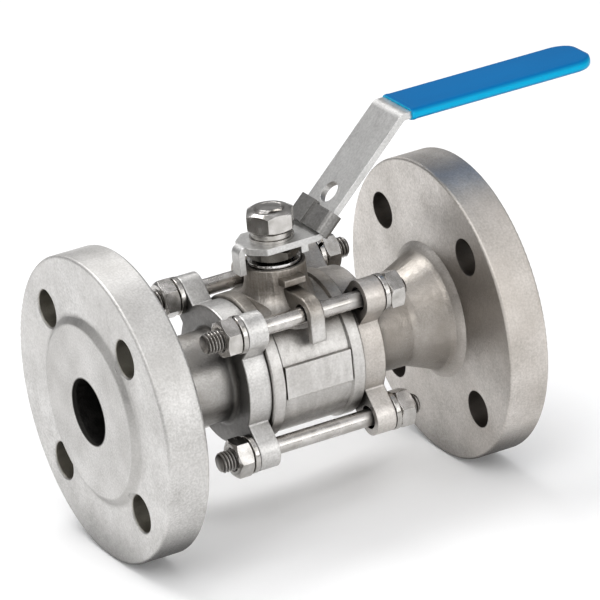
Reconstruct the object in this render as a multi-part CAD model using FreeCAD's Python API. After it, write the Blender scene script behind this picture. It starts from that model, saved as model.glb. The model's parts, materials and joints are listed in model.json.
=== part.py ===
import FreeCAD, Part
import math
import os

# Three-piece flanged ball valve, DN 25 / PN 40, shown open.
# Millimetres. +X runs along the pipe towards the outlet, +Z up the stem, and -Y is the
# front with the blank type pad. The origin is the ball's centre, where the bore meets the stem.

# Pipe connection: EN 1092-1 flanges for DN 25, PN 40, face to face to EN 558 series 1.
FACE_TO_FACE = 160.0
BORE_RADIUS = 12.5
FLANGE_RADIUS = 57.5
FLANGE_THICKNESS = 18.0
RAISED_FACE_HEIGHT = 2.0
RAISED_FACE_RADIUS = 34.0
RAISED_FACE_SLOPE = 3.0
BOLT_CIRCLE = 85.0
BOLT_HOLE_RADIUS = 7.0
BOLT_HOLE_COUNT = 4

# End caps: flange, hub and bolt plate in one casting.
HUB_FOOT_RADIUS = 26.0
HUB_FOOT_LENGTH = 3.0
HUB_ROOT_RADIUS = 22.3
HUB_RADIUS = 17.2
HUB_TAPER_END = 46.0
HUB_FILLET = 4.0
HUB_TAPER_BLEND = 6.0
FLANGE_EDGE_FILLET = 1.0
RAISED_EDGE_FILLET = 1.2
RAISED_ROOT_FILLET = 2.0
PLATE_ROOT_FILLET = 2.0
PLATE_INNER = 19.3
PLATE_OUTER = 28.3
PLATE_RADIUS = 26.0
EAR_RADIUS = 6.9
EAR_INNER = 20.2
PLATE_CORNER_FILLET = 0.8
PLATE_EDGE_FILLET = 0.6
SPIGOT_RADIUS = 19.4
SPIGOT_END = 15.9
SEAT_POCKET_RADIUS = 17.05
SEAT_POCKET_DEPTH = 20.5

# Body bolting: four M8 studs, a nut and a lock washer at each end of each.
STUD_SPACING = 46.8
STUD_HALF_LENGTH = 41.0
STUD_SHANK_RADIUS = 3.2
STUD_THREAD_RADIUS = 3.95
STUD_THREAD_START = 23.0
STUD_HOLE_RADIUS = 4.4
STUD_NUT_WIDTH = 13.0
STUD_NUT_HEIGHT = 6.3
STUD_NUT_CROWN = 0.92
LOCK_WASHER_RADIUS = 7.1
LOCK_WASHER_THICKNESS = 2.0
LOCK_WASHER_GAP = 1.4
THREAD_CLEARANCE = 0.08

# Centre body.
BODY_HALF_LENGTH = 19.1
RIM_RADIUS = 27.5
RIM_START = 13.5
DRUM_RADIUS = 26.5
CAVITY_RADIUS = 19.6
SEAL_RADIUS = 22.5
PAD_FACE = 27.3
PAD_BOTTOM = -5.6
PAD_TOP = 6.9
NECK_RADIUS = 11.5
NECK_TOP = 37.0
NECK_CUP_RADIUS = 10.3
NECK_CUP_FLOOR = 35.6
NECK_FLARE_RADIUS = 9.0
NECK_FLARE_TOP = 31.0
HOOK_HALF_WIDTH = 3.0
HOOK_RADIUS = 6.8
HOOK_THICKNESS = 3.4
HOOK_TIP = 13.8
HOOK_TIP_FILLET = 1.6
STUD_RELIEF_RADIUS = 4.2
FRONT_BLOCK_LOW = (-4.5, -15.3, 31.7)
FRONT_BLOCK_HIGH = (4.5, -8.0, 34.4)
CLOSED_STOP_LOW = (3.2, 7.0, 29.0)
CLOSED_STOP_HIGH = (7.2, 15.6, 37.2)

# Ball and seats.
BALL_RADIUS = 19.0
SEAT_CLEARANCE = 0.15
SEAT_FRONT = 12.6
SLOT_HALF_WIDTH = 3.0
SLOT_FLOOR = 15.0

# Stem and its sealing, from the ball upwards.
TANG_HALF_THICKNESS = 2.8
TANG_HALF_WIDTH = 6.2
COLLAR_RADIUS = 7.8
COLLAR_BOTTOM = 20.2
COLLAR_TOP = 23.0
STEM_RADIUS = 5.5
STEM_HOLE_RADIUS = 5.8
THRUST_WASHER_TOP = 24.1
PACKING_FLOOR = 28.0
PACKING_RADIUS = 8.45
PACKING_RING_HEIGHT = 1.85
PACKING_RING_NAMES = ("lower", "middle", "upper")
GLAND_RING_TOP = 36.3
STEM_THREAD_START = 35.0
STEM_THREAD_RADIUS = 4.95
STEM_FLAT = 3.9
STEM_TOP = 57.7
SPRING_OUTER_RADIUS = 9.7
SPRING_RISE = 0.45
SPRING_THICKNESS = 0.7
GLAND_NUT_BOTTOM = 38.8
GLAND_NUT_TOP = 43.4
GLAND_NUT_WIDTH = 17.0
GLAND_NUT_TURN = 34.5
HANDLE_NUT_WIDTH = 16.4
HANDLE_NUT_HEIGHT = 8.0
HANDLE_NUT_CROWN = 0.86
HANDLE_NUT_TURN = 58.0
HANDLE_WASHER_RADIUS = 8.2
HANDLE_WASHER_THICKNESS = 1.0
SPRING_WASHER_RADIUS = 7.6
SPRING_WASHER_THICKNESS = 2.1

# Lever: one cranked strip of sheet with a stop tab.
SHEET = 2.5
LEVER_HALF_WIDTH = 10.0
LEVER_BASE_TOP = 46.0
LEVER_BACK = -12.4
LEVER_CORNER_CUT = 5.0
ARM_START = 13.6
ARM_ANGLE = 43.5
ARM_TOP = 82.4
LEVER_END = 133.9
BEND_RADIUS = 2.0
END_CORNER_RADIUS = 7.5
TAB_OUTER = 15.4
TAB_HALF_WIDTH = 2.8
TAB_BOTTOM = 35.4
LUG_START = 6.4
LUG_END = 9.3
LUG_BOTTOM = 40.9
PADLOCK_HOLE_RADIUS = 4.2
PADLOCK_HOLE_ALONG = 15.6

# Soft grip sleeve over the lever's level end.
GRIP_START = 55.9
GRIP_WALL = 1.1
GRIP_ROUND = 2.2

# Lock slider: a folded sheet sleeve that runs along the sloping arm.
SLIDER_START = 0.6
SLIDER_LENGTH = 9.9
SLIDER_SHEET = 1.3
SLIDER_CLEARANCE = 0.35
SLIDER_BEND = 2.2
SLIDER_LAP_EDGE = 1.0
SLIDER_LAP_RISE = 0.9
SLIDER_LIP_EDGE = 6.0

X_AXIS = FreeCAD.Vector(1, 0, 0)
Y_AXIS = FreeCAD.Vector(0, 1, 0)
Z_AXIS = FreeCAD.Vector(0, 0, 1)
ORIGIN = FreeCAD.Vector(0, 0, 0)
FAR = 60.0
STUD_OFFSET = STUD_SPACING / 2
STUD_PLACES = {
    "front_upper": (-STUD_OFFSET, STUD_OFFSET),
    "front_lower": (-STUD_OFFSET, -STUD_OFFSET),
    "rear_upper": (STUD_OFFSET, STUD_OFFSET),
    "rear_lower": (STUD_OFFSET, -STUD_OFFSET),
}

# How the bolting happens to sit after tightening: each stud's shift along X, and how far above
# the front each nut has a corner, in degrees, at the inlet and at the outlet.
STUD_SHIFTS = {"front_upper": -2.2, "front_lower": -0.8, "rear_upper": 0.6, "rear_lower": -0.4}
NUT_CORNERS = {"front_upper": (24, 19), "front_lower": (0, 15), "rear_upper": (38, 8),
               "rear_lower": (51, 29)}


def vector(x, y, z):
    return FreeCAD.Vector(x, y, z)


def cylinder_x(radius, start, end, y=0.0, z=0.0):
    return Part.makeCylinder(radius, end - start, vector(start, y, z), X_AXIS)


def cylinder_z(radius, bottom, top):
    return Part.makeCylinder(radius, top - bottom, vector(0, 0, bottom), Z_AXIS)


def ring_z(inner, outer, bottom, top):
    return cylinder_z(outer, bottom, top).cut(cylinder_z(inner, bottom, top))


def block(low, high):
    size = vector(*high) - vector(*low)
    return Part.makeBox(size.x, size.y, size.z, vector(*low))


def turned_x(points):
    """A solid turned about the bore axis from (x, radius) corners."""
    corners = [vector(x, 0, radius) for x, radius in points]
    face = Part.Face(Part.makePolygon(corners + corners[:1]))
    return face.revolve(ORIGIN, X_AXIS, 360)


def turned_z(points):
    """A solid turned about the stem axis from (radius, z) corners."""
    corners = [vector(radius, 0, z) for radius, z in points]
    face = Part.Face(Part.makePolygon(corners + corners[:1]))
    return face.revolve(ORIGIN, Z_AXIS, 360)


def rounded(shape, radius, chosen):
    """The shape with a fillet on each edge whose midpoint passes the test."""
    edges = [edge for edge in shape.Edges if chosen(edge)]
    return shape.makeFillet(radius, edges)


def middle(edge):
    return edge.valueAt((edge.FirstParameter + edge.LastParameter) / 2)


def is_circle_x(edge, radius, x):
    """True for a full circle about an axis along X with this radius, at this x."""
    curve = edge.Curve
    if not isinstance(curve, Part.Circle):
        return False
    return abs(curve.Radius - radius) < 1e-3 and abs(curve.Center.x - x) < 1e-3


def half_turn(shape):
    """The same shape turned to the inlet side."""
    turned = shape.copy()
    turned.rotate(ORIGIN, Z_AXIS, 180)
    return turned


def bolt_angle(index):
    """Flange holes straddle the centre lines."""
    return math.radians(360.0 / BOLT_HOLE_COUNT * (index + 0.5))


def is_plate_corner(edge):
    """True for the edges along X where an ear's flank leaves the round plate."""
    place = middle(edge)
    on_rim = abs(math.hypot(place.y, place.z) - PLATE_RADIUS) < 0.01
    return on_rim and abs(edge.Length - (PLATE_OUTER - EAR_INNER)) < 1e-3


def bolt_plate():
    """The round plate with an ear at each stud, flanks parallel to the ear's own direction."""
    plate = cylinder_x(PLATE_RADIUS, PLATE_INNER, PLATE_OUTER)
    for y, z in STUD_PLACES.values():
        across = vector(0, -z, y) * (EAR_RADIUS / math.hypot(y, z))
        tip = vector(EAR_INNER, y, z)
        root = vector(EAR_INNER, y * 0.3, z * 0.3)
        corners = [root + across, tip + across, tip - across, root - across]
        flanks = Part.Face(Part.makePolygon(corners + corners[:1]))
        arm = flanks.extrude(X_AXIS * (PLATE_OUTER - EAR_INNER))
        plate = plate.fuse([arm, cylinder_x(EAR_RADIUS, EAR_INNER, PLATE_OUTER, y, z)])
    plate = rounded(plate.removeSplitter(), PLATE_CORNER_FILLET, is_plate_corner)
    return rounded(plate, PLATE_EDGE_FILLET, lambda edge: middle(edge).x > PLATE_OUTER - 1e-3)


def end_cap():
    """Outlet side: flange, tapered hub and bolt plate with its spigot."""
    face = FACE_TO_FACE / 2
    flange_front = face - RAISED_FACE_HEIGHT
    flange_back = face - FLANGE_THICKNESS
    foot = flange_back - HUB_FOOT_LENGTH
    hub = turned_x([
        (PLATE_OUTER - 1, 0), (PLATE_OUTER - 1, HUB_RADIUS), (HUB_TAPER_END, HUB_RADIUS),
        (foot, HUB_ROOT_RADIUS), (flange_back, HUB_FOOT_RADIUS), (flange_back, FLANGE_RADIUS),
        (flange_front, FLANGE_RADIUS), (flange_front, RAISED_FACE_RADIUS + RAISED_FACE_SLOPE / 2),
        (face, RAISED_FACE_RADIUS - RAISED_FACE_SLOPE / 2), (face, 0)])
    hub = rounded(hub, HUB_FILLET, lambda edge: is_circle_x(edge, HUB_ROOT_RADIUS, foot))
    hub = rounded(hub, RAISED_ROOT_FILLET,
                  lambda edge: is_circle_x(edge, RAISED_FACE_RADIUS + RAISED_FACE_SLOPE / 2, flange_front))
    hub = rounded(hub, HUB_TAPER_BLEND, lambda edge: is_circle_x(edge, HUB_RADIUS, HUB_TAPER_END))
    hub = rounded(hub, FLANGE_EDGE_FILLET,
                  lambda edge: is_circle_x(edge, FLANGE_RADIUS, flange_back)
                  or is_circle_x(edge, FLANGE_RADIUS, flange_front))
    hub = rounded(hub, RAISED_EDGE_FILLET,
                  lambda edge: is_circle_x(edge, RAISED_FACE_RADIUS - RAISED_FACE_SLOPE / 2, face))
    spigot = cylinder_x(SPIGOT_RADIUS, SPIGOT_END, PLATE_INNER + 1)
    cap = hub.fuse([bolt_plate(), spigot]).removeSplitter()
    cap = rounded(cap, PLATE_ROOT_FILLET, lambda edge: is_circle_x(edge, HUB_RADIUS, PLATE_OUTER))
    cuts = [cylinder_x(BORE_RADIUS, 0, face + 1),
            cylinder_x(SEAT_POCKET_RADIUS, 0, SEAT_POCKET_DEPTH)]
    for y, z in STUD_PLACES.values():
        cuts.append(cylinder_x(STUD_HOLE_RADIUS, PLATE_INNER - 1, PLATE_OUTER + 1, y, z))
    for index in range(BOLT_HOLE_COUNT):
        y = BOLT_CIRCLE / 2 * math.cos(bolt_angle(index))
        z = BOLT_CIRCLE / 2 * math.sin(bolt_angle(index))
        cuts.append(cylinder_x(BOLT_HOLE_RADIUS, flange_back - 1, face, y, z))
        countersink = Part.makeCone(BOLT_HOLE_RADIUS, BOLT_HOLE_RADIUS + 1.5, 1.5,
                                    vector(flange_front - 0.6, y, z), X_AXIS)
        cuts.append(countersink)
    return cap.cut(cuts)


def seat():
    """Outlet seat: a ring cut to the ball, behind it the shoulder of its pocket."""
    ring = cylinder_x(SEAT_POCKET_RADIUS - 0.05, SEAT_FRONT, SEAT_POCKET_DEPTH - 0.05)
    ring = ring.cut(cylinder_x(BORE_RADIUS + 0.1, 0, FAR))
    return ring.cut(Part.makeSphere(BALL_RADIUS + SEAT_CLEARANCE))


def body_seal():
    """Outlet body seal, between the spigot, the body's counterbore and the cap."""
    start = SPIGOT_END + 0.65
    ring = cylinder_x(SEAL_RADIUS, start, PLATE_INNER - 0.05)
    return ring.cut(cylinder_x(SPIGOT_RADIUS + 0.05, 0, FAR))


def neck_flare():
    """The neck's foot: a concave sweep round the stem axis, kept between the body's rims."""
    foot = NECK_RADIUS + NECK_FLARE_RADIUS
    base = NECK_FLARE_TOP - NECK_FLARE_RADIUS
    halfway = NECK_FLARE_RADIUS * math.sqrt(0.5)
    arc = Part.Arc(vector(NECK_RADIUS, 0, NECK_FLARE_TOP),
                   vector(foot - halfway, 0, NECK_FLARE_TOP - halfway),
                   vector(foot, 0, base)).toShape()
    outline = Part.makePolygon([vector(foot, 0, base), vector(foot, 0, 10), vector(0, 0, 10),
                                vector(0, 0, NECK_FLARE_TOP), vector(NECK_RADIUS, 0, NECK_FLARE_TOP)])
    face = Part.Face(Part.Wire([arc] + outline.Edges))
    swept = face.revolve(ORIGIN, Z_AXIS, 360)
    return swept.common(block((-RIM_START, -FAR, 0), (RIM_START, FAR, FAR)))


def stud_hook():
    """The hook round the front upper stud: over the stud and down its outer side."""
    top = STUD_OFFSET + HOOK_RADIUS
    outer = STUD_OFFSET + HOOK_RADIUS
    x = -HOOK_HALF_WIDTH
    half = HOOK_RADIUS * math.sqrt(0.5)
    arc = Part.Arc(vector(x, -STUD_OFFSET, top), vector(x, -STUD_OFFSET - half, STUD_OFFSET + half),
                   vector(x, -outer, STUD_OFFSET)).toShape()
    outline = Part.makePolygon([
        vector(x, -outer, STUD_OFFSET), vector(x, -outer, HOOK_TIP),
        vector(x, -outer + HOOK_THICKNESS, HOOK_TIP), vector(x, -outer + HOOK_THICKNESS, STUD_OFFSET),
        vector(x, -STUD_OFFSET, STUD_OFFSET), vector(x, -8, STUD_OFFSET), vector(x, -8, top),
        vector(x, -STUD_OFFSET, top)])
    face = Part.Face(Part.Wire([arc] + outline.Edges))
    hook = face.extrude(X_AXIS * (2 * HOOK_HALF_WIDTH))
    hook = rounded(hook, HOOK_TIP_FILLET, lambda edge: middle(edge).z < HOOK_TIP + 1e-3
                   and abs(middle(edge).x) < 1e-3)
    return rounded(hook, 0.7, lambda edge: middle(edge).y < -STUD_OFFSET - HOOK_RADIUS / 2
                   and abs(middle(edge).x) > 1)


def centre_body():
    """The drum with its type pads, neck, stops and stud hooks, cut out for ball, stem and seals."""
    drum = turned_x([
        (-BODY_HALF_LENGTH, 0), (-BODY_HALF_LENGTH, RIM_RADIUS - 0.5),
        (-BODY_HALF_LENGTH + 0.5, RIM_RADIUS), (-RIM_START - 0.8, RIM_RADIUS),
        (-RIM_START, DRUM_RADIUS), (RIM_START, DRUM_RADIUS), (RIM_START + 0.8, RIM_RADIUS),
        (BODY_HALF_LENGTH - 0.5, RIM_RADIUS), (BODY_HALF_LENGTH, RIM_RADIUS - 0.5),
        (BODY_HALF_LENGTH, 0)])
    pad = rounded(block((-RIM_START, -PAD_FACE, PAD_BOTTOM), (RIM_START, PAD_FACE, PAD_TOP)),
                  0.5, lambda edge: abs(middle(edge).x) < 1)
    neck = cylinder_z(NECK_RADIUS, 10, NECK_TOP)
    neck = rounded(neck, 0.5, lambda edge: middle(edge).z > NECK_TOP - 1e-3)
    front_block = rounded(block(FRONT_BLOCK_LOW, FRONT_BLOCK_HIGH), 0.5,
                          lambda edge: middle(edge).y < FRONT_BLOCK_LOW[1] + 1e-3)
    closed_stop = rounded(block(CLOSED_STOP_LOW, CLOSED_STOP_HIGH), 0.6,
                          lambda edge: middle(edge).y > CLOSED_STOP_HIGH[1] - 1e-3)
    front_hook = stud_hook()
    rear_hook = half_turn(front_hook)
    body = drum.fuse([pad, neck, neck_flare(), front_block, closed_stop, front_hook, rear_hook])
    body = body.removeSplitter()
    cuts = [cylinder_x(CAVITY_RADIUS, -FAR, FAR)]
    counterbore = cylinder_x(SEAL_RADIUS + 0.05, SPIGOT_END + 0.6, FAR)
    cuts += [counterbore, half_turn(counterbore)]
    cuts.append(cylinder_z(COLLAR_RADIUS + 0.35, 0, THRUST_WASHER_TOP))
    cuts.append(cylinder_z(STEM_HOLE_RADIUS, 0, FAR))
    cuts.append(cylinder_z(PACKING_RADIUS + 0.05, PACKING_FLOOR, FAR))
    cuts.append(cylinder_z(NECK_CUP_RADIUS, NECK_CUP_FLOOR, FAR))
    for y, z in STUD_PLACES.values():
        cuts.append(cylinder_x(STUD_RELIEF_RADIUS, -FAR, FAR, y, z))
    return body.cut(cuts)


def ball():
    """A sphere with the full bore, and a slot across its top that lets it float when shut."""
    solid = Part.makeSphere(BALL_RADIUS)
    slot = block((-SLOT_HALF_WIDTH, -FAR, SLOT_FLOOR), (SLOT_HALF_WIDTH, FAR, FAR))
    return solid.cut([cylinder_x(BORE_RADIUS, -FAR, FAR), slot])


def stem():
    shaft = turned_z([
        (0, COLLAR_BOTTOM), (COLLAR_RADIUS - 0.4, COLLAR_BOTTOM), (COLLAR_RADIUS, COLLAR_BOTTOM + 0.4),
        (COLLAR_RADIUS, COLLAR_TOP), (STEM_RADIUS, COLLAR_TOP), (STEM_RADIUS, STEM_THREAD_START),
        (STEM_THREAD_RADIUS, STEM_THREAD_START), (STEM_THREAD_RADIUS, STEM_TOP - 0.8),
        (STEM_THREAD_RADIUS - 0.8, STEM_TOP), (0, STEM_TOP)])
    tang = block((-TANG_HALF_THICKNESS, -TANG_HALF_WIDTH, SLOT_FLOOR + 0.3),
                 (TANG_HALF_THICKNESS, TANG_HALF_WIDTH, COLLAR_BOTTOM + 0.5))
    flats = [block((-FAR, side * STEM_FLAT - (0 if side > 0 else FAR), GLAND_NUT_TOP),
                   (FAR, side * STEM_FLAT + (FAR if side > 0 else 0), STEM_TOP + 1))
             for side in (-1, 1)]
    return shaft.fuse(tang).cut(flats)


def hexagon(width, bottom, top, turn):
    """A hexagon prism on the stem axis, one corner at the angle `turn` in degrees."""
    radius = width / math.sqrt(3)
    corners = [vector(radius * math.cos(math.radians(turn + 60 * k)),
                      radius * math.sin(math.radians(turn + 60 * k)), bottom) for k in range(7)]
    return Part.Face(Part.makePolygon(corners)).extrude(Z_AXIS * (top - bottom))


def hex_nut(width, bottom, height, bore, crown, turn=0.0):
    """A chamfered hexagon nut on the stem axis; `crown` is its flat end's share of the width."""
    top = bottom + height
    corner = width / math.sqrt(3)
    flat = width / 2 * crown
    drop = (corner - flat) * math.tan(math.radians(30))
    envelope = turned_z([(0, bottom), (flat, bottom), (corner, bottom + drop),
                         (corner, top - drop), (flat, top), (0, top)])
    countersink = 0.7
    hole = turned_z([(0, bottom - 1), (bore + countersink + 1, bottom - 1), (bore, bottom + countersink),
                     (bore, top - countersink), (bore + countersink + 1, top + 1), (0, top + 1)])
    return hexagon(width, bottom, top, turn).common(envelope).cut(hole)


def spring_washer(radius, bore, bottom, thickness, gap, turn):
    """A split lock washer on the stem axis, with a slanted cut at the angle `turn`."""
    ring = ring_z(bore, radius, bottom, bottom + thickness)
    ring = rounded(ring, 0.3, lambda edge: isinstance(edge.Curve, Part.Circle)
                   and abs(edge.Curve.Radius - radius) < 1e-3)
    cut = block((0, -gap / 2, bottom - 2), (radius + 1, gap / 2, bottom + thickness + 2))
    cut.rotate(vector(0, 0, bottom + thickness / 2), X_AXIS, 25)
    cut.rotate(ORIGIN, Z_AXIS, turn)
    return ring.cut(cut)


def laid_on_stud(shape, side, y, z):
    """Moves a piece built on the stem axis onto a stud, its +Z end outwards on that side."""
    laid = shape.copy()
    laid.rotate(ORIGIN, Y_AXIS, 90 * side)
    laid.translate(vector(0, y, z))
    return laid


def stud():
    """A stud along X with a waisted shank and chamfered ends."""
    end = STUD_HALF_LENGTH
    half = [(STUD_THREAD_START, STUD_SHANK_RADIUS), (STUD_THREAD_START + 0.7, STUD_THREAD_RADIUS),
            (end - 0.9, STUD_THREAD_RADIUS), (end, STUD_THREAD_RADIUS - 0.9)]
    mirrored = [(-x, radius) for x, radius in reversed(half)]
    return turned_x([(-end, 0)] + mirrored + half + [(end, 0)])


def disc_spring(bottom, rising):
    """One conical disc spring; `rising` has its inner edge higher than its outer edge."""
    inner = STEM_RADIUS + 0.1
    low, high = (0.0, SPRING_RISE) if rising else (SPRING_RISE, 0.0)
    return turned_z([
        (inner, bottom + high), (SPRING_OUTER_RADIUS, bottom + low),
        (SPRING_OUTER_RADIUS, bottom + low + SPRING_THICKNESS),
        (inner, bottom + high + SPRING_THICKNESS)])


def lever_strip():
    """The cranked strip seen from the side, swept across its width."""
    lean = SHEET * math.tan(math.radians(ARM_ANGLE / 2))
    arm_end = ARM_START + (ARM_TOP - LEVER_BASE_TOP) / math.tan(math.radians(ARM_ANGLE))
    upper = [(LEVER_BACK, LEVER_BASE_TOP), (ARM_START, LEVER_BASE_TOP), (arm_end, ARM_TOP),
             (LEVER_END, ARM_TOP)]
    lower = [(LEVER_END, ARM_TOP - SHEET), (arm_end + lean, ARM_TOP - SHEET),
             (ARM_START + lean, LEVER_BASE_TOP - SHEET), (LEVER_BACK, LEVER_BASE_TOP - SHEET)]
    corners = [vector(x, -LEVER_HALF_WIDTH, z) for x, z in upper + lower]
    strip = Part.Face(Part.makePolygon(corners + corners[:1])).extrude(Y_AXIS * (2 * LEVER_HALF_WIDTH))

    def bend(points):
        return lambda edge: any(abs(middle(edge).x - x) < 1e-3 and abs(middle(edge).z - z) < 1e-3
                                for x, z in points)

    strip = rounded(strip, BEND_RADIUS, bend([upper[1], lower[1]]))
    strip = rounded(strip, BEND_RADIUS + SHEET, bend([upper[2], lower[2]]))
    end_corner = lambda edge: (middle(edge).x > LEVER_END - 1e-3
                               and abs(abs(middle(edge).y) - LEVER_HALF_WIDTH) < 1e-3)
    return rounded(strip, END_CORNER_RADIUS, end_corner)


def stop_tab():
    """The narrow tab bent down at the lever's back end."""
    tab = block((-TAB_OUTER, -TAB_HALF_WIDTH, TAB_BOTTOM), (-8, TAB_HALF_WIDTH, LEVER_BASE_TOP))
    under = block((-TAB_OUTER + SHEET, -TAB_HALF_WIDTH, TAB_BOTTOM),
                  (-8, TAB_HALF_WIDTH, LEVER_BASE_TOP - SHEET))
    tab = tab.cut(under)
    return rounded(tab, SHEET + 0.5, lambda edge: middle(edge).x < -TAB_OUTER + 1e-3
                   and middle(edge).z > LEVER_BASE_TOP - 1e-3)


def corner_cut(side):
    """The triangle taken off a back corner of the lever's head."""
    y = side * (LEVER_HALF_WIDTH + 1)
    cut = LEVER_CORNER_CUT + 1
    bottom = LEVER_BASE_TOP - SHEET - 1
    corners = [vector(LEVER_BACK - 1, y, bottom), vector(LEVER_BACK - 1 + cut + 1, y, bottom),
               vector(LEVER_BACK - 1, y - side * (cut + 1), bottom)]
    return Part.Face(Part.makePolygon(corners + corners[:1])).extrude(Z_AXIS * (SHEET + 2))


def arm_point(along, above, y=0.0):
    """A point in the sloping arm's own directions, from the foot of its upper face."""
    slope = math.radians(ARM_ANGLE)
    return vector(ARM_START + along * math.cos(slope) - above * math.sin(slope), y,
                  LEVER_BASE_TOP + along * math.sin(slope) + above * math.cos(slope))


def on_arm(shape):
    """Moves a shape built with X along the arm and Z off its upper face onto the arm."""
    placed = shape.copy()
    placed.rotate(ORIGIN, Y_AXIS, -ARM_ANGLE)
    placed.translate(arm_point(0, 0))
    return placed


def lever():
    """The strip with its stop tab, two small side lugs, the stem's keyhole and the padlock hole."""
    inner = LEVER_HALF_WIDTH - SHEET
    lug_top = LEVER_BASE_TOP - SHEET + 0.5
    lugs = [block((LUG_START, -LEVER_HALF_WIDTH, LUG_BOTTOM), (LUG_END, -inner, lug_top)),
            block((LUG_START, inner, LUG_BOTTOM), (LUG_END, LEVER_HALF_WIDTH, lug_top))]
    padlock_hole = Part.makeCylinder(PADLOCK_HOLE_RADIUS, 20, vector(PADLOCK_HOLE_ALONG, 0, -10))
    stem_hole = cylinder_z(STEM_THREAD_RADIUS + 0.1, 0, LEVER_BASE_TOP + 1)
    keyhole = stem_hole.common(block((-FAR, -STEM_FLAT - 0.1, 0), (FAR, STEM_FLAT + 0.1, FAR)))
    head = lever_strip().cut([corner_cut(-1), corner_cut(1)]).fuse([stop_tab()] + lugs)
    head = head.removeSplitter()
    return head.cut([keyhole, on_arm(padlock_hole)])


def grip_sleeve():
    """A dipped sleeve, closed over the lever's end, its long edges well rounded."""
    half = LEVER_HALF_WIDTH + GRIP_WALL
    end = LEVER_END + GRIP_WALL
    bottom = ARM_TOP - SHEET - GRIP_WALL
    top = ARM_TOP + GRIP_WALL
    sleeve = block((GRIP_START, -half, bottom), (end, half, top))
    sleeve = rounded(sleeve, END_CORNER_RADIUS + GRIP_WALL,
                     lambda edge: middle(edge).x > end - 1e-3 and abs(middle(edge).y) > half - 1e-3)
    sleeve = rounded(sleeve, GRIP_ROUND, lambda edge: middle(edge).x > GRIP_START + 1
                     and (middle(edge).z > top - 1e-3 or middle(edge).z < bottom + 1e-3))
    gap = 0.05
    pocket = block((GRIP_START - 1, -LEVER_HALF_WIDTH - gap, ARM_TOP - SHEET - gap),
                   (LEVER_END + gap, LEVER_HALF_WIDTH + gap, ARM_TOP + gap))
    pocket = rounded(pocket, END_CORNER_RADIUS + gap, lambda edge: middle(edge).x > LEVER_END
                     and abs(middle(edge).y) > LEVER_HALF_WIDTH)
    return sleeve.cut(pocket)


def lock_slider():
    """Built with X along the arm and Z off its upper face, then laid on the arm."""
    end = SLIDER_START + SLIDER_LENGTH
    inner = LEVER_HALF_WIDTH + SLIDER_CLEARANCE
    outer = inner + SLIDER_SHEET
    floor = -SHEET - SLIDER_CLEARANCE
    low = floor - SLIDER_SHEET
    high = SLIDER_CLEARANCE + SLIDER_SHEET
    sleeve = block((SLIDER_START, -outer, low), (end - 0.9, outer, high))
    sleeve = rounded(sleeve, SLIDER_BEND, lambda edge: abs(middle(edge).y) > outer - 1e-3
                     and abs(middle(edge).x - (SLIDER_START + end - 0.9) / 2) < 1e-3)
    lap = block((SLIDER_START, SLIDER_LAP_EDGE, low), (end, outer, high + SLIDER_LAP_RISE))
    lap = rounded(lap, SLIDER_BEND, lambda edge: middle(edge).y > outer - 1e-3
                  and abs(middle(edge).x - (SLIDER_START + end) / 2) < 1e-3)
    way = block((SLIDER_START - 1, -inner, floor), (end + 1, inner, SLIDER_CLEARANCE))
    mouth = block((SLIDER_START - 1, -SLIDER_LIP_EDGE, low - 1), (end + 1, SLIDER_LIP_EDGE, 0))
    return on_arm(sleeve.fuse(lap).removeSplitter().cut([way, mouth]))


def fasteners():
    """The stud bolting, one solid per node."""
    nut = hex_nut(STUD_NUT_WIDTH, PLATE_OUTER + LOCK_WASHER_THICKNESS + 0.1, STUD_NUT_HEIGHT,
                  STUD_THREAD_RADIUS + THREAD_CLEARANCE, STUD_NUT_CROWN)
    pieces = {}
    for index, (place, (y, z)) in enumerate(STUD_PLACES.items()):
        bolt = stud()
        bolt.translate(vector(STUD_SHIFTS[place], y, z))
        pieces["stud_" + place] = bolt
        for end, side, corner in zip(("inlet", "outlet"), (-1, 1), NUT_CORNERS[place]):
            turned = nut.copy()
            turned.rotate(ORIGIN, Z_AXIS, -90 - side * corner)
            washer = spring_washer(LOCK_WASHER_RADIUS, STUD_THREAD_RADIUS + 0.2, PLATE_OUTER + 0.05,
                                   LOCK_WASHER_THICKNESS, LOCK_WASHER_GAP, 40 + 75 * index + 30 * side)
            pieces["nut_" + end + "_" + place] = laid_on_stud(turned, side, y, z)
            pieces["lock_washer_" + end + "_" + place] = laid_on_stud(washer, side, y, z)
    return pieces


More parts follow.
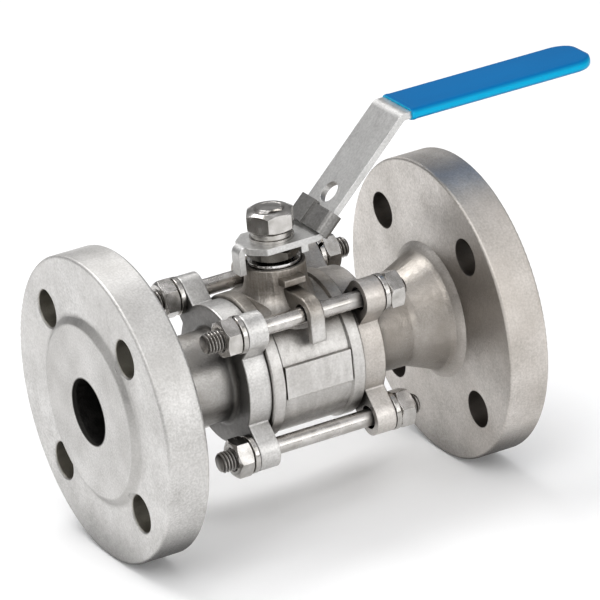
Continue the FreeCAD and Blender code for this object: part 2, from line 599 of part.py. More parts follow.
def stem_parts():
    """Everything stacked on the stem, from the thrust washer up to the handle nut."""
    bore = STEM_RADIUS + 0.15
    pieces = {"thrust_washer": ring_z(bore, COLLAR_RADIUS + 0.2, COLLAR_TOP + 0.15,
                                      THRUST_WASHER_TOP - 0.05)}
    level = PACKING_FLOOR + 0.02
    for name in PACKING_RING_NAMES:
        pieces["packing_ring_" + name] = ring_z(bore, PACKING_RADIUS, level, level + PACKING_RING_HEIGHT)
        level += PACKING_RING_HEIGHT + 0.02
    pieces["gland_ring"] = ring_z(bore + 0.1, PACKING_RADIUS - 0.1, level, GLAND_RING_TOP)
    spring_level = GLAND_RING_TOP + 0.1
    pieces["disc_spring_lower"] = disc_spring(spring_level, False)
    upper_level = spring_level + SPRING_RISE + SPRING_THICKNESS + 0.02
    pieces["disc_spring_upper"] = disc_spring(upper_level, True)
    thread_bore = STEM_THREAD_RADIUS + THREAD_CLEARANCE
    pieces["gland_nut"] = hex_nut(GLAND_NUT_WIDTH, GLAND_NUT_BOTTOM, GLAND_NUT_TOP - GLAND_NUT_BOTTOM,
                                  thread_bore, STUD_NUT_CROWN, GLAND_NUT_TURN)
    washer_bottom = LEVER_BASE_TOP + 0.03
    washer_top = washer_bottom + HANDLE_WASHER_THICKNESS
    pieces["handle_washer"] = ring_z(STEM_THREAD_RADIUS + 0.3, HANDLE_WASHER_RADIUS,
                                     washer_bottom, washer_top)
    spring_bottom = washer_top + 0.03
    pieces["handle_spring_washer"] = spring_washer(SPRING_WASHER_RADIUS, STEM_THREAD_RADIUS + 0.2,
                                                   spring_bottom, SPRING_WASHER_THICKNESS, 1.6, 150)
    nut_bottom = spring_bottom + SPRING_WASHER_THICKNESS + 0.03
    pieces["handle_nut"] = hex_nut(HANDLE_NUT_WIDTH, nut_bottom, HANDLE_NUT_HEIGHT, thread_bore,
                                   HANDLE_NUT_CROWN, HANDLE_NUT_TURN)
    return pieces


def all_parts():
    cap = end_cap()
    ring = seat()
    seal = body_seal()
    pieces = {
        "centre_body": centre_body(),
        "outlet_end_cap": cap,
        "inlet_end_cap": half_turn(cap),
        "outlet_seat": ring,
        "inlet_seat": half_turn(ring),
        "outlet_body_seal": seal,
        "inlet_body_seal": half_turn(seal),
        "ball": ball(),
        "stem": stem(),
        "lever": lever(),
        "grip_sleeve": grip_sleeve(),
        "lock_slider": lock_slider(),
    }
    pieces.update(stem_parts())
    pieces.update(fasteners())
    return pieces


os.makedirs("parts", exist_ok=True)
for name, shape in all_parts().items():
    solids = shape.Solids
    if len(solids) != 1 or not shape.isValid():
        raise ValueError(name + " is not one valid solid")
    solids[0].exportStep("parts/" + name + ".step")
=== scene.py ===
import json
import math

import bpy
import numpy as np
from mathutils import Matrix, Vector


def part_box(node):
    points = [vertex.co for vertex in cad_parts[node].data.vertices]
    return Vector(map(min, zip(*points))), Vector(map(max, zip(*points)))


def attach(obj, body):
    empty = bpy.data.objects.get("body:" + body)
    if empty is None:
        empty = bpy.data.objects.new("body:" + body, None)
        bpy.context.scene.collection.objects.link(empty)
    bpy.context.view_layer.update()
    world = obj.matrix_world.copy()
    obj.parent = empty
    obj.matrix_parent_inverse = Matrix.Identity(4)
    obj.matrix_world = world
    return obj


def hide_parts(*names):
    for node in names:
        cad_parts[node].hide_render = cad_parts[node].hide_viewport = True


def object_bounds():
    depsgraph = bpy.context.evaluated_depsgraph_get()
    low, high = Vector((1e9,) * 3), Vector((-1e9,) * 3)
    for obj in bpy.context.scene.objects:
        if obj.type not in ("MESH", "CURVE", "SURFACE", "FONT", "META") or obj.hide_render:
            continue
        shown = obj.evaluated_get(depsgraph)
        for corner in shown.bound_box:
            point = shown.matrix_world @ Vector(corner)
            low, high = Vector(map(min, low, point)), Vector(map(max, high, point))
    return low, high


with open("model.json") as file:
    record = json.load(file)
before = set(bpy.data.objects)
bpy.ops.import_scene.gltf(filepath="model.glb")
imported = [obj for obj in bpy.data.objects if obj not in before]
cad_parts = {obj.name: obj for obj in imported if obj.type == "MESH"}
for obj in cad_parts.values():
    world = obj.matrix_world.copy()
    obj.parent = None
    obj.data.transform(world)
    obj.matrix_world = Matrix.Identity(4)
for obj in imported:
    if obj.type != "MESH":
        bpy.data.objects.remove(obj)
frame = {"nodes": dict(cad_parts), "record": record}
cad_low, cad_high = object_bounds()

# A flanged three-piece ball valve in stainless steel. Metres, in the CAD's frame: +X along the
# pipe, +Z up the stem, -Y towards the front, the origin at the ball's centre. The lengths below
# are written in millimetres.
MM = 0.001

# Camera: angles in degrees, the lens and sensor in millimetres of film.
CAMERA_AZIMUTH = -27.1
CAMERA_ELEVATION = 22.6
CAMERA_ROLL = -5.5
CAMERA_DISTANCE = 2264 * MM
CAMERA_LENS = 374.0
SENSOR_WIDTH = 36.0
CLIP_START = 50 * MM
CLIP_END = 60000 * MM
AIM_RIGHT = 6.1 * MM
AIM_UP = 19.4 * MM

# Studio lights: name, azimuth and elevation (degrees), distance, width and height (metres), watts.
SOFTBOXES = (
    ("left_low", -112, 14, 1.2, 0.8, 0.6, 1.1),
    ("front_left", -48, 42, 1.2, 0.8, 0.7, 4.4),
    ("front_top", -10, 66, 1.1, 0.9, 0.7, 1.6),
    ("front_mid", 8, 38, 1.2, 0.9, 0.6, 1.5),
    ("front_low", 8, 14, 1.3, 0.9, 0.5, 3.6),
    ("front_right", 36, 26, 1.3, 0.9, 0.8, 1.3),
    ("rear_top", -165, 60, 1.2, 1.0, 0.5, 8.8),
)

# The room round the studio, as (height share, colour), and its floor.
ROOM_LOW = (0.05, (0.14, 0.14, 0.14))
ROOM_HIGH = (0.9, (0.50, 0.50, 0.51))
FLOOR_HALF_SIZE = 8.0
FLOOR_GAP = 0.2 * MM

# Threads of the studs.
STUD_RADIUS = 3.95 * MM
STUD_SHANK_RADIUS = 3.2 * MM
STUD_PITCH = 1.25 * MM
STUD_THREAD_LENGTH = 18.0 * MM
THREAD_DEPTH_SHARE = 0.6
CREST_SHARE = 0.13
ROOT_SHARE = 0.2
RUN_OUT_SLOPE = 1.2
ROWS_PER_PITCH = 12
SHANK_ROWS = 9
THREAD_COLUMNS = 40
THREAD_CRISP_ANGLE = 50
END_CHAMFER = 0.9 * MM

# Grip sleeve: its shape, then how finely it is divided.
GRIP_WALL = 1.1 * MM
GRIP_CORNER = 2.1 * MM
GRIP_CROWN = 0.22 * MM
GRIP_BEAD = 0.12 * MM
GRIP_END_CORNER = 8.6 * MM
GRIP_END_ROUND = 1.7 * MM
GRIP_END_TUCK = 0.98
GRIP_LIP_SHARE = 0.55
GRIP_LIP_CORNER_SHARE = 0.6
GRIP_LIP_CROWN_SHARE = 0.5
GRIP_INNER_CORNER = 0.25 * MM
GRIP_ROOM = 0.05 * MM
GRIP_CRISP_ANGLE = 40
END_ROUND_STEPS = 10
END_CORNER_REACH = 50.0
END_CORNER_ROWS = 9
BODY_ROWS = 18
MOUTH_STEPS = 6
INNER_ROWS = 8
INNER_END_DEGREES = range(10, 91, 10)
SECTION_CORNER_STEPS = 8
SECTION_FLAT_STEPS = 12
MOST_CORNER_SHARE = 0.98

# Zones of an end cap. Each pair holds where the soft edge of a zone starts and ends, measured
# along the bore from the ball's centre, or outwards from the axis of the bore or bolt hole.
ROOT_START = (27.8 * MM, 28.6 * MM)
ROOT_END = (29.5 * MM, 34.0 * MM)
HUB_START = (29.0 * MM, 31.0 * MM)
HUB_END = (59.0 * MM, 61.0 * MM)
FLANGE_START = (61.5 * MM, 62.5 * MM)
SLOPE_START = (77.0 * MM, 77.8 * MM)
RAISED_FACE_START = (78.3 * MM, 79.0 * MM)
BORE_EDGE = (12.6 * MM, 13.1 * MM)
SLOPE_INNER_EDGE = (31.8 * MM, 32.8 * MM)
SLOPE_OUTER_EDGE = (35.2 * MM, 37.0 * MM)
RAISED_FACE_EDGE = (32.2 * MM, 33.0 * MM)
RIM_EDGE = (56.2 * MM, 57.2 * MM)
BOLT_HOLE_EDGE = (7.05 * MM, 7.35 * MM)

# Flange bolt holes: each one's distance from both middle planes.
BOLT_HOLE_OFFSET = 85.0 / 2 / math.sqrt(2) * MM

# The centre body turns from satin to as-cast skin between these heights.
AS_CAST_START = (20.0 * MM, 28.0 * MM)

# The part of a noise's range that carries nearly all of its values.
NOISE_RANGE = (0.3, 0.7)
# Openness of a crevice that counts as closed, and as open.
CREVICE_RANGE = (0.35, 0.85)
# Crossings of turning marks to the metre, on the castings and on the PTFE parts.
CAST_LAY = 2600.0
PTFE_LAY = 3000.0

# Colours.
# Cap colours: light, dark and stain are the metal's own tones; hub is painted shade on the hub, and
# hole is painted shade in the flange's bolt holes.
CAP_BLASTED = {"light": (0.76, 0.75, 0.735), "dark": (0.42, 0.41, 0.395),
               "stain": (0.56, 0.545, 0.525), "painted_hub_shade": (0.30, 0.28, 0.255),
               "painted_hole_shade": (0.30, 0.285, 0.25)}
# The outlet cap's copy: warmer in hue, with a darker stain and darker bolt holes that are painted
# shade.
CAP_WARM_SHADED = {"light": (0.76, 0.725, 0.69), "dark": (0.42, 0.395, 0.365),
            "stain": (0.46, 0.415, 0.37), "painted_hub_shade": (0.33, 0.30, 0.265),
            "painted_hole_shade": (0.15, 0.135, 0.12)}
ROOT_SHADE = (0.055, 0.049, 0.042)
SLOPE_SHADE = (0.27, 0.26, 0.245)
BORE_SHADE = (0.065, 0.062, 0.058)
SATIN_DARK, SATIN_LIGHT = (0.46, 0.445, 0.425), (0.68, 0.665, 0.645)
SKIN_DARK, SKIN_LIGHT = (0.26, 0.235, 0.205), (0.46, 0.425, 0.385)
# Painted shade for the body's corners and recesses.
BODY_CREVICE_SHADE = (0.12, 0.107, 0.092)
STUD_DARK, STUD_LIGHT = (0.42, 0.40, 0.375), (0.62, 0.60, 0.58)
# Painted shade for the thread grooves.
GROOVE_SHADE = (0.030, 0.025, 0.021)
VINYL_DARK, VINYL_LIGHT = (0.0, 0.118, 0.33), (0.0, 0.136, 0.37)
# Painted light for the grip's upright faces.
VINYL_UPRIGHT_LIGHT = (0.0, 0.36, 0.62)
PTFE_DARK, PTFE_LIGHT = (0.80, 0.80, 0.77), (0.90, 0.90, 0.88)
PAPER_DARK, PAPER_LIGHT = (0.88, 0.88, 0.88), (0.91, 0.91, 0.91)
WHITE = (1.0, 1.0, 1.0, 1.0)


class Recipe:
    """One procedural material, built round its Principled shader."""

    def __init__(self, name, **constants):
        self.material = bpy.data.materials.new(name)
        self.material.use_nodes = True
        self.tree = self.material.node_tree
        self.shader = self.tree.nodes["Principled BSDF"]
        self.place = self.add("ShaderNodeTexCoord").outputs["Object"]
        for socket, value in constants.items():
            self.shader.inputs[socket.replace("_", " ")].default_value = value

    def add(self, kind, inputs=(), **settings):
        """A new node, with its inputs linked or set."""
        node = self.tree.nodes.new(kind)
        for setting, value in settings.items():
            setattr(node, setting, value)
        for socket, value in dict(inputs).items():
            if isinstance(value, bpy.types.NodeSocket):
                self.tree.links.new(value, node.inputs[socket])
            else:
                node.inputs[socket].default_value = value
        return node

    def math(self, operation, first, second=0.0):
        return self.add("ShaderNodeMath", {0: first, 1: second}, operation=operation).outputs[0]

    def times(self, first, second):
        return self.math("MULTIPLY", first, second)

    def plus(self, first, second):
        return self.math("ADD", first, second)

    def length(self, first, second):
        """The length of the vector that these two values make."""
        return self.math("SQRT", self.plus(self.times(first, first), self.times(second, second)))

    def spread(self, value, low, high, start, end):
        """The value's range start..end, laid out over low..high and clamped."""
        settings = {"Value": value, "From Min": start, "From Max": end,
                    "To Min": low, "To Max": high}
        return self.add("ShaderNodeMapRange", settings).outputs[0]

    def spread_noise(self, noise, low, high):
        """A noise laid out over low..high."""
        return self.spread(noise, low, high, *NOISE_RANGE)

    def rise(self, value, start, end):
        """0 up to `start`, 1 from `end` on."""
        return self.spread(value, 0.0, 1.0, start, end)

    def fall(self, value, start, end):
        """1 up to `start`, 0 from `end` on."""
        return self.spread(value, 1.0, 0.0, start, end)

    def noise(self, scale, detail, stretch=(1.0, 1.0, 1.0), place=None):
        """Noise with `scale` features to the metre, drawn out along an axis by a small stretch."""
        mapped = self.add("ShaderNodeMapping", {"Vector": place or self.place, "Scale": stretch})
        settings = {"Vector": mapped.outputs[0], "Scale": scale, "Detail": detail}
        return self.add("ShaderNodeTexNoise", settings).outputs[0]

    def axes(self):
        """The place's X, Y and Z, as three values."""
        return self.add("ShaderNodeSeparateXYZ", {0: self.place}).outputs[:3]

    def around_x(self):
        """Distance from the bore axis, angle round it and the place along it, as three values."""
        x, y, z = self.axes()
        return self.length(y, z), self.math("ARCTAN2", z, y), x

    def around_z(self):
        """Distance from the stem axis, angle round it and the height, as three values."""
        x, y, z = self.axes()
        return self.length(x, y), self.math("ARCTAN2", y, x), z

    def from_bolt_hole(self):
        """Distance from the nearest flange hole's axis."""
        offsets = [self.math("SUBTRACT", self.math("ABSOLUTE", value), BOLT_HOLE_OFFSET)
                   for value in self.axes()[1:]]
        return self.length(*offsets)

    def vector(self, x, y, z):
        return self.add("ShaderNodeCombineXYZ", {0: x, 1: y, 2: z}).outputs[0]

    def mix(self, share, first, second):
        """Two colours mixed; the share is 0 for the first."""
        node = self.add("ShaderNodeMix", {0: share}, data_type="RGBA")
        for index, value in ((6, first), (7, second)):
            if isinstance(value, bpy.types.NodeSocket):
                self.tree.links.new(value, node.inputs[index])
            else:
                node.inputs[index].default_value = (*value, 1.0)
        return node.outputs[2]

    def bump(self, height, strength, depth, normal=None):
        settings = {"Height": height, "Strength": strength, "Distance": depth}
        if normal:
            settings["Normal"] = normal
        return self.add("ShaderNodeBump", settings).outputs[0]

    def crevices(self, reach):
        """1 in the open, falling to 0 in corners and recesses nearer than `reach`."""
        node = self.add("ShaderNodeAmbientOcclusion", {"Distance": reach}, samples=6)
        return self.rise(node.outputs["AO"], *CREVICE_RANGE)

    def soft_edges(self, radius):
        return self.add("ShaderNodeBevel", {"Radius": radius}, samples=4).outputs[0]

    def finish(self, colour, roughness=None, normal=None):
        """Links what is given to the shader, and hands over the material."""
        for socket, value in (("Base Color", colour), ("Roughness", roughness), ("Normal", normal)):
            if value is not None:
                self.tree.links.new(value, self.shader.inputs[socket])
        return self.material


def cast_cap(name, light, dark, stain, painted_hub_shade, painted_hole_shade):
    """Bead-blasted stainless casting with a turned rim and raised face, stained in patches, and
    with painted shade on the hub, at its root, in crevices, in the bolt holes and in the bore.
    """
    recipe = Recipe(name, Metallic=1.0)
    radius, angle, along = recipe.around_x()
    distance = recipe.math("ABSOLUTE", along)

    at_root = recipe.times(recipe.rise(distance, *ROOT_START), recipe.fall(distance, *ROOT_END))
    on_hub = recipe.times(recipe.rise(distance, *HUB_START), recipe.fall(distance, *HUB_END))
    on_flange = recipe.rise(distance, *FLANGE_START)
    on_rim = recipe.times(on_flange, recipe.rise(radius, *RIM_EDGE))
    on_raised = recipe.times(recipe.rise(distance, *RAISED_FACE_START),
                             recipe.fall(radius, *RAISED_FACE_EDGE))
    on_slope = recipe.times(recipe.rise(distance, *SLOPE_START),
                            recipe.times(recipe.rise(radius, *SLOPE_INNER_EDGE),
                                         recipe.fall(radius, *SLOPE_OUTER_EDGE)))
    in_hole = recipe.times(on_flange, recipe.fall(recipe.from_bolt_hole(), *BOLT_HOLE_EDGE))
    in_bore = recipe.fall(radius, *BORE_EDGE)
    turned = recipe.math("MAXIMUM", on_rim, on_raised)

    grain = recipe.noise(scale=1300.0, detail=3.0)
    blotches = recipe.noise(scale=70.0, detail=4.0)
    pits = recipe.noise(scale=420.0, detail=2.0)
    lay = recipe.vector(recipe.times(radius, CAST_LAY), recipe.times(along, CAST_LAY),
                        recipe.times(angle, 3.0))
    streaks = recipe.noise(scale=1.0, detail=2.0, place=lay)
    clouds = recipe.noise(scale=22.0, detail=3.0)

    tone = recipe.plus(recipe.spread_noise(grain, 0.0, 0.5),
                       recipe.spread_noise(blotches, 0.0, 0.5))
    colour = recipe.mix(tone, dark, light)
    colour = recipe.mix(recipe.spread(clouds, 0.0, 0.5, 0.42, 0.68), colour, stain)
    # Painted shade: the hub is darkened in blotchy patches towards the hub colour, standing in for
    # the shade behind the flange.
    hub_shade_share = recipe.times(on_hub, recipe.spread(blotches, 0.35, 0.95, 0.35, 0.65))
    colour = recipe.mix(hub_shade_share, colour, painted_hub_shade)
    colour = recipe.mix(recipe.times(at_root, 0.92), colour, ROOT_SHADE)
    colour = recipe.mix(recipe.times(on_slope, 0.42), colour, SLOPE_SHADE)
    crevice_shade = tuple(0.22 * value for value in dark)
    colour = recipe.mix(recipe.crevices(30 * MM), crevice_shade, colour)
    # Painted shade inside the flange's bolt holes.
    colour = recipe.mix(in_hole, colour, painted_hole_shade)
    colour = recipe.mix(in_bore, colour, BORE_SHADE)

    blasted = recipe.spread_noise(pits, 0.36, 0.48)
    machined = recipe.spread_noise(streaks, 0.50, 0.62)
    roughness = recipe.plus(recipe.times(blasted, recipe.math("SUBTRACT", 1.0, turned)),
                            recipe.times(machined, turned))

    blast_share = recipe.math("SUBTRACT", 1.0, recipe.times(turned, 0.85))
    height = recipe.times(recipe.plus(grain, recipe.times(pits, 0.7)), blast_share)
    height = recipe.plus(height, recipe.times(streaks, recipe.times(turned, 0.35)))
    normal = recipe.bump(height, 0.6, 0.14 * MM, recipe.soft_edges(0.3 * MM))
    return recipe.finish(colour, roughness, normal)


def cast_body(name):
    """The centre casting: satin rims and drum, darker as-cast skin on the neck, and painted shade
    in corners.
    """
    recipe = Recipe(name, Metallic=1.0)
    out, turn, level = recipe.around_z()
    as_cast = recipe.rise(level, *AS_CAST_START)
    grain = recipe.noise(scale=1300.0, detail=3.0)
    skin = recipe.noise(scale=330.0, detail=4.0)
    blotches = recipe.noise(scale=90.0, detail=3.0)
    lay = recipe.vector(recipe.times(turn, 11.0), recipe.times(out, 90.0),
                        recipe.times(level, 90.0))
    draw_marks = recipe.noise(scale=1.0, detail=3.0, place=lay)

    tone = recipe.plus(recipe.spread_noise(grain, 0.0, 0.5),
                       recipe.spread(recipe.times(blotches, draw_marks), 0.0, 0.5, 0.16, 0.36))
    satin = recipe.mix(tone, SATIN_DARK, SATIN_LIGHT)
    rough_skin = recipe.mix(tone, SKIN_DARK, SKIN_LIGHT)
    colour = recipe.mix(as_cast, satin, rough_skin)
    # Painted shade: corners and recesses within 14 mm are darkened.
    colour = recipe.mix(recipe.crevices(14 * MM), BODY_CREVICE_SHADE, colour)

    height = recipe.plus(recipe.times(grain, 0.6), skin)
    height = recipe.plus(height, recipe.times(recipe.times(draw_marks, 2.5), as_cast))
    normal = recipe.bump(height, 0.5, 0.2 * MM, recipe.soft_edges(0.35 * MM))
    return recipe.finish(colour, recipe.spread_noise(skin, 0.36, 0.52), normal)


def bright_steel(name, dark, light, rough_low, rough_high):
    """Drawn or turned bright steel: fine scratches, smears in the polish and soft edges."""
    recipe = Recipe(name, Metallic=1.0)
    smears = recipe.noise(scale=260.0, detail=3.0)
    scratches = recipe.noise(scale=900.0, detail=2.0, stretch=(1.0, 0.25, 1.0))
    colour = recipe.mix(recipe.spread_noise(smears, 0.0, 1.0), dark, light)
    normal = recipe.bump(scratches, 0.05, 0.05 * MM, recipe.soft_edges(0.2 * MM))
    return recipe.finish(colour, recipe.spread_noise(smears, rough_low, rough_high), normal)


def threaded_steel(name):
    """The studs: bright crests and painted shade in the thread grooves, by the piece's own groove
    depth.
    """
    recipe = Recipe(name, Metallic=1.0)
    groove = recipe.add("ShaderNodeAttribute", attribute_name="groove").outputs["Fac"]
    smears = recipe.noise(scale=220.0, detail=3.0)
    drawn = recipe.noise(scale=2600.0, detail=2.0, stretch=(1.0, 0.12, 0.12))
    bare = recipe.mix(recipe.spread_noise(smears, 0.0, 1.0), STUD_DARK, STUD_LIGHT)
    # Painted shade: the thread grooves are darkened almost to black by their depth.
    colour = recipe.mix(recipe.times(groove, 0.95), bare, GROOVE_SHADE)
    roughness = recipe.plus(recipe.spread_noise(smears, 0.20, 0.32), recipe.times(groove, 0.25))
    return recipe.finish(colour, roughness, recipe.bump(drawn, 0.05, 0.03 * MM))


def sheet_steel(name, dark, light, lay):
    """Brushed sheet: fine grain drawn out along `lay`, with soft cut edges."""
    recipe = Recipe(name, Metallic=1.0)
    brush = recipe.noise(scale=1900.0, detail=3.0, stretch=lay)
    speckle = recipe.noise(scale=1100.0, detail=2.0)
    cloudy = recipe.noise(scale=80.0, detail=2.0)
    tone = recipe.plus(recipe.spread_noise(speckle, 0.0, 0.6),
                       recipe.spread_noise(cloudy, 0.0, 0.4))
    normal = recipe.bump(brush, 0.2, 0.06 * MM, recipe.soft_edges(0.3 * MM))
    return recipe.finish(recipe.mix(tone, dark, light), recipe.spread_noise(brush, 0.34, 0.46),
                         normal)


def dipped_vinyl(name):
    """Glossy blue plastisol with a faint orange-peel skin, and painted light that makes faces
    standing upright lighter.
    """
    recipe = Recipe(name, Coat_Weight=0.12, Coat_Roughness=0.1, IOR=1.45,
                    Specular_IOR_Level=0.06)
    peel = recipe.noise(scale=260.0, detail=2.0)
    flow = recipe.noise(scale=45.0, detail=2.0, stretch=(0.3, 1.0, 1.0))
    normal = recipe.add("ShaderNodeNewGeometry").outputs["Normal"]
    level = recipe.math("ABSOLUTE", recipe.add("ShaderNodeSeparateXYZ", {0: normal}).outputs["Z"])
    vinyl_tone = recipe.mix(recipe.spread_noise(flow, 0.0, 1.0), VINYL_DARK, VINYL_LIGHT)
    # Painted light: faces that stand upright are lightened towards a pale cyan.
    colour = recipe.mix(recipe.fall(level, 0.25, 0.85), vinyl_tone, VINYL_UPRIGHT_LIGHT)
    return recipe.finish(colour, recipe.spread_noise(peel, 0.29, 0.31),
                         recipe.bump(peel, 0.08, 0.05 * MM))


def ptfe(name):
    """White fluoropolymer with a waxy, lathe-cut surface."""
    recipe = Recipe(name, Subsurface_Weight=0.2, Subsurface_Scale=2 * MM)
    radius, angle, along = recipe.around_x()
    lay = recipe.vector(recipe.times(radius, PTFE_LAY), recipe.times(along, PTFE_LAY), angle)
    cut = recipe.noise(scale=1.0, detail=2.0, place=lay)
    clouds = recipe.noise(scale=150.0, detail=2.0)
    return recipe.finish(recipe.mix(clouds, PTFE_DARK, PTFE_LIGHT),
                         recipe.spread_noise(cut, 0.38, 0.5), recipe.bump(cut, 0.15, 0.05 * MM))


def floor_paper(name):
    """Pale seamless paper."""
    recipe = Recipe(name, Roughness=0.9, Emission_Color=WHITE, Emission_Strength=0.08)
    fibres = recipe.noise(scale=40.0, detail=3.0)
    return recipe.finish(recipe.mix(fibres, PAPER_DARK, PAPER_LIGHT))


def smooth(mesh, angle):
    """Smooth shading, with edges sharper than `angle` degrees kept crisp."""
    mesh.polygons.foreach_set("use_smooth", [True] * len(mesh.polygons))
    mesh.set_sharp_from_angle(angle=math.radians(angle))
    mesh.update()


def add_piece(name, rows, material, body, node, angle):
    """A closed piece from rings of points with one count, its first and last ring capped."""
    columns = len(rows[0])
    points = [tuple(point) for row in rows for point in row]
    faces = []
    for start in range(0, (len(rows) - 1) * columns, columns):
        for index in range(columns):
            near, after = start + index, start + (index + 1) % columns
            faces.append((near, after, after + columns, near + columns))
    faces.append(tuple(reversed(range(columns))))
    faces.append(tuple(range(len(points) - columns, len(points))))
    mesh = bpy.data.meshes.new(name)
    mesh.from_pydata(points, [], faces)
    mesh.validate()
    mesh.materials.append(material)
    smooth(mesh, angle)
    piece = bpy.data.objects.new(name, mesh)
    bpy.context.scene.collection.objects.link(piece)
    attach(piece, body)
    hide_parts(node)
    return piece


def groove_depth(phase):
    """Depth of an ISO thread below its crest, 0 to 1, at a place within one pitch."""
    off_crest = np.abs(phase - 0.5) - CREST_SHARE / 2
    flank = 0.5 - CREST_SHARE / 2 - ROOT_SHARE / 2
    return np.clip(off_crest / flank, 0.0, 1.0)


def stud(node, material):
    """A stud with a waisted shank and a right-hand thread at each end."""
    low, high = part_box(node)
    centre = (low + high) / 2
    half = (high.x - low.x) / 2
    depth = STUD_PITCH * THREAD_DEPTH_SHARE
    thread_start = half - STUD_THREAD_LENGTH
    step = STUD_PITCH / ROWS_PER_PITCH
    side = np.append(np.arange(thread_start, half - step / 2, step), half)
    shank = np.linspace(-thread_start, thread_start, SHANK_ROWS)[1:-1]
    stations = np.concatenate([-side[::-1], shank, side])
    angles = np.arange(THREAD_COLUMNS) * 2 * math.pi / THREAD_COLUMNS
    x, theta = np.meshgrid(stations, angles, indexing="ij")
    groove = groove_depth(np.mod(x / STUD_PITCH - theta / (2 * math.pi), 1.0))
    inside = np.abs(x) - thread_start
    radius = STUD_RADIUS - depth * groove
    start_cone = STUD_SHANK_RADIUS + np.clip(inside, 0, None) * RUN_OUT_SLOPE
    end_cone = STUD_RADIUS - END_CHAMFER + (half - np.abs(x))
    radius = np.minimum(np.minimum(radius, start_cone), end_cone)
    radius = np.where(inside < 0, STUD_SHANK_RADIUS, radius)
    # Groove depth on the threads, kept as the mask for the painted shade in the grooves.
    groove_shade = np.where(inside < 0, 0.0, groove)
    rows = np.stack([x + centre.x, centre.y + radius * np.cos(theta),
                     centre.z + radius * np.sin(theta)], -1)
    piece = add_piece(node + "_threaded", rows, material, "valve", node,
                      THREAD_CRISP_ANGLE)
    attribute = piece.data.attributes.new("groove", "FLOAT", "POINT")
    attribute.data.foreach_set("value", groove_shade.astype(np.float32).ravel())


def rounded_section(x, centre_z, half_width, half_height, corner, crown):
    """A closed loop across the sleeve at x: a rounded rectangle, crowned above and below."""
    corner = min(corner, half_height * MOST_CORNER_SHARE, half_width * MOST_CORNER_SHARE)
    flat = half_width - corner
    points = []
    for side, start in ((1, 0.0), (-1, 90.0)):
        for index in range(SECTION_CORNER_STEPS + 1):
            turn = math.radians(start + index * 90.0 / SECTION_CORNER_STEPS)
            y = side * flat + corner * math.cos(turn)
            points.append((y, half_height - corner + corner * math.sin(turn)))
        if side == 1:
            points += [(flat * (1 - index / (SECTION_FLAT_STEPS / 2)), half_height)
                       for index in range(1, SECTION_FLAT_STEPS)]
    top = [(y, z + crown * (1 - (y / half_width) ** 2) * (z > half_height - corner))
           for y, z in points]
    loop = top + [(-y, -z) for y, z in top]
    return [(x, y, centre_z + z) for y, z in loop]


def tongue_width(x, end, corner, width):
    """Half the width at x of a tongue with rounded corners at its end."""
    into = x - (end - corner)
    if into <= 0:
        return width
    return width - corner + math.sqrt(max(corner ** 2 - into ** 2, 0.0))


def grip(node, material):
    """The dipped sleeve: soft edges, a slight crown, a bead at the mouth and a closed end."""
    low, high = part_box(node)
    centre_z = (low.z + high.z) / 2
    half_width = (high.y - low.y) / 2
    half_height = (high.z - low.z) / 2 - GRIP_CROWN

    outer = []
    for index in range(END_ROUND_STEPS, -1, -1):
        turn = math.radians(90.0 * index / END_ROUND_STEPS)
        x = high.x - GRIP_END_ROUND + GRIP_END_ROUND * math.sin(turn)
        tuck = GRIP_END_ROUND * (1 - math.cos(turn)) * GRIP_END_TUCK
        width = tongue_width(x, high.x, GRIP_END_CORNER, half_width)
        outer.append(rounded_section(x, centre_z, width, half_height - tuck, GRIP_CORNER, 0.0))

    corner_start = high.x - GRIP_END_CORNER
    turns = np.radians(np.linspace(END_CORNER_REACH, 0.0, END_CORNER_ROWS))
    stations = np.concatenate([
        corner_start + GRIP_END_CORNER * np.sin(turns),
        np.linspace(corner_start, low.x + 2 * GRIP_WALL, BODY_ROWS)[1:]])
    for x in stations:
        width = tongue_width(x, high.x, GRIP_END_CORNER, half_width)
        outer.append(rounded_section(x, centre_z, width, half_height, GRIP_CORNER, GRIP_CROWN))

    for index in range(1, MOUTH_STEPS + 1):
        share = index / MOUTH_STEPS
        x = low.x + 2 * GRIP_WALL * (1 - share)
        bead = GRIP_BEAD * math.sin(math.pi * share)
        outer.append(rounded_section(x, centre_z, half_width + bead, half_height + bead,
                                     GRIP_CORNER, GRIP_CROWN))
    lip = GRIP_WALL * GRIP_LIP_SHARE - GRIP_WALL
    outer.append(rounded_section(low.x, centre_z, half_width + lip, half_height + lip,
                                 GRIP_CORNER * GRIP_LIP_CORNER_SHARE,
                                 GRIP_CROWN * GRIP_LIP_CROWN_SHARE))

    inner_width = half_width - GRIP_WALL + GRIP_ROOM
    inner_height = half_height + GRIP_CROWN - GRIP_WALL + GRIP_ROOM
    inner_end = high.x - GRIP_WALL + GRIP_ROOM
    inner_corner = GRIP_END_CORNER - GRIP_WALL
    stations = list(np.linspace(low.x, inner_end - inner_corner, INNER_ROWS))
    stations += [inner_end - inner_corner + inner_corner * math.sin(math.radians(degrees))
                 for degrees in INNER_END_DEGREES]
    inner = [rounded_section(x, centre_z, tongue_width(x, inner_end, inner_corner, inner_width),
                             inner_height, GRIP_INNER_CORNER, 0.0) for x in stations]
    add_piece("grip_skin", (outer + inner)[::-1], material, "lever", node,
              GRIP_CRISP_ANGLE)


def towards(azimuth, elevation):
    """The direction from the valve out to an azimuth and elevation in radians."""
    return Vector((math.sin(azimuth) * math.cos(elevation),
                   -math.cos(azimuth) * math.cos(elevation), math.sin(elevation)))


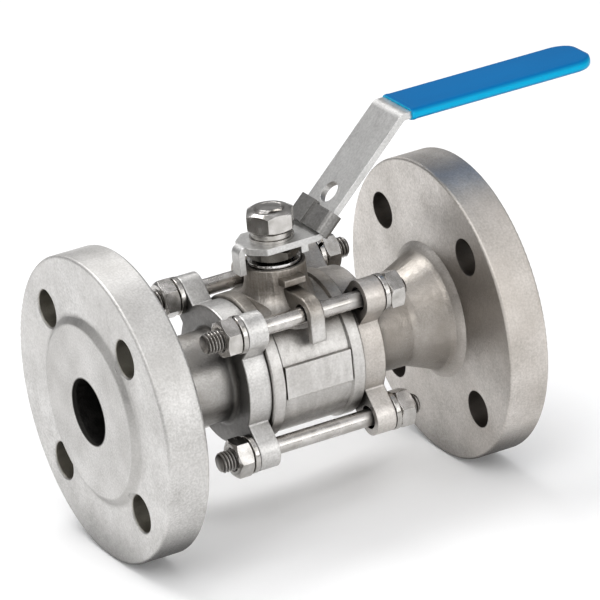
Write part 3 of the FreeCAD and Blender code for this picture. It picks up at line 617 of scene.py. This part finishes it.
def place_camera():
    """Looks at a point just above the ball's centre, rolled a little."""
    azimuth, elevation, roll = (math.radians(angle) for angle in
                                (CAMERA_AZIMUTH, CAMERA_ELEVATION, CAMERA_ROLL))
    back = towards(azimuth, elevation)
    level = Vector((math.cos(azimuth), math.sin(azimuth), 0.0))
    upright = back.cross(level)
    right = level * math.cos(roll) + upright * math.sin(roll)
    up = upright * math.cos(roll) - level * math.sin(roll)
    data = bpy.data.cameras.new("camera")
    data.lens = CAMERA_LENS
    data.sensor_width = SENSOR_WIDTH
    data.clip_start = CLIP_START
    data.clip_end = CLIP_END
    camera = bpy.data.objects.new("camera", data)
    bpy.context.scene.collection.objects.link(camera)
    for column, axis in enumerate((right, up, back)):
        for row in range(3):
            camera.matrix_world[row][column] = axis[row]
    camera.matrix_world.translation = right * AIM_RIGHT + up * AIM_UP + back * CAMERA_DISTANCE
    bpy.context.scene.camera = camera


def softbox(name, azimuth, elevation, distance, width, height, watts):
    """A rectangular light that faces the valve from an azimuth counted like the camera's."""
    data = bpy.data.lights.new(name, "AREA")
    data.shape = "RECTANGLE"
    data.size = width
    data.size_y = height
    data.energy = watts
    lamp = bpy.data.objects.new(name, data)
    bpy.context.scene.collection.objects.link(lamp)
    direction = towards(math.radians(azimuth), math.radians(elevation))
    lamp.location = (cad_low + cad_high) / 2 + direction * distance
    lamp.rotation_euler = direction.to_track_quat("Z", "Y").to_euler()


def studio_world():
    """An even room: dim towards the horizon, bright overhead."""
    world = bpy.data.worlds.new("studio")
    world.use_nodes = True
    bpy.context.scene.world = world
    nodes, links = world.node_tree.nodes, world.node_tree.links
    coordinates = nodes.new("ShaderNodeTexCoord")
    split = nodes.new("ShaderNodeSeparateXYZ")
    ramp = nodes.new("ShaderNodeValToRGB")
    for stop, (position, colour) in zip(ramp.color_ramp.elements, (ROOM_LOW, ROOM_HIGH)):
        stop.position = position
        stop.color = (*colour, 1.0)
    links.new(coordinates.outputs["Generated"], split.inputs[0])
    links.new(split.outputs["Z"], ramp.inputs[0])
    links.new(ramp.outputs[0], nodes["Background"].inputs[0])


def add_floor():
    """A plain sheet just under the flanges."""
    size = FLOOR_HALF_SIZE
    z = cad_low.z - FLOOR_GAP
    corners = [(-size, -size, z), (size, -size, z), (size, size, z), (-size, size, z)]
    mesh = bpy.data.meshes.new("floor")
    mesh.from_pydata(corners, [], [(0, 1, 2, 3)])
    mesh.materials.append(floor_paper("floor_paper"))
    floor = bpy.data.objects.new("floor", mesh)
    bpy.context.scene.collection.objects.link(floor)


def dress(node, material):
    """Gives a CAD node its finished material."""
    slots = frame["nodes"][node].data.materials
    slots.clear()
    slots.append(material)


def slot_materials():
    """A material for each of the record's slots."""
    return {
        "cast_body": cast_body("cast_body_satin"),
        "cast_cap": cast_cap("cast_cap_blasted", **CAP_BLASTED),
        "fastener_steel": bright_steel("bright_fastener", (0.40, 0.385, 0.36),
                                       (0.64, 0.62, 0.60), 0.18, 0.28),
        "stem_steel": bright_steel("turned_dark", (0.22, 0.205, 0.185),
                                   (0.42, 0.40, 0.375), 0.18, 0.34),
        "lever_steel": sheet_steel("lever_brushed", (0.50, 0.495, 0.485),
                                   (0.72, 0.715, 0.70), (0.15, 1.0, 0.15)),
        "slider_steel": sheet_steel("slider_brushed", (0.17, 0.165, 0.158),
                                    (0.30, 0.295, 0.285), (1.0, 0.15, 1.0)),
        "grip_vinyl": dipped_vinyl("blue_vinyl"),
        "ball_steel": bright_steel("polished_ball", (0.66, 0.65, 0.64),
                                   (0.74, 0.73, 0.72), 0.06, 0.12),
        "ptfe": ptfe("white_ptfe"),
    }


def own_materials(materials):
    """The nodes that look different from the rest of their slot, and their materials."""
    return {
        "stem": materials["fastener_steel"],
        # Painted shade: the gland nut, which sits in shade under the lever, is made near black.
        "gland_nut": bright_steel("gland_painted_shade", (0.05, 0.046, 0.040),
                                  (0.12, 0.112, 0.10), 0.16, 0.30),
        "disc_spring_lower": materials["ball_steel"],
        "disc_spring_upper": materials["ball_steel"],
        # The outlet cap: a warmer copy whose darker stain and holes are painted shade.
        "outlet_end_cap": cast_cap("cast_cap_warm_shaded", **CAP_WARM_SHADED),
    }


materials = slot_materials()
for subpart in frame["record"]["subparts"]:
    dress(subpart["node"], materials[subpart["material_slot"]])
for node, material in own_materials(materials).items():
    dress(node, material)

stud_finish = threaded_steel("stud_thread_steel")
for place in ("front_upper", "front_lower", "rear_upper", "rear_lower"):
    stud("stud_" + place, stud_finish)
grip("grip_sleeve", materials["grip_vinyl"])

add_floor()
studio_world()
for light in SOFTBOXES:
    softbox(*light)
place_camera()
bpy.context.scene.view_settings.view_transform = "Standard"
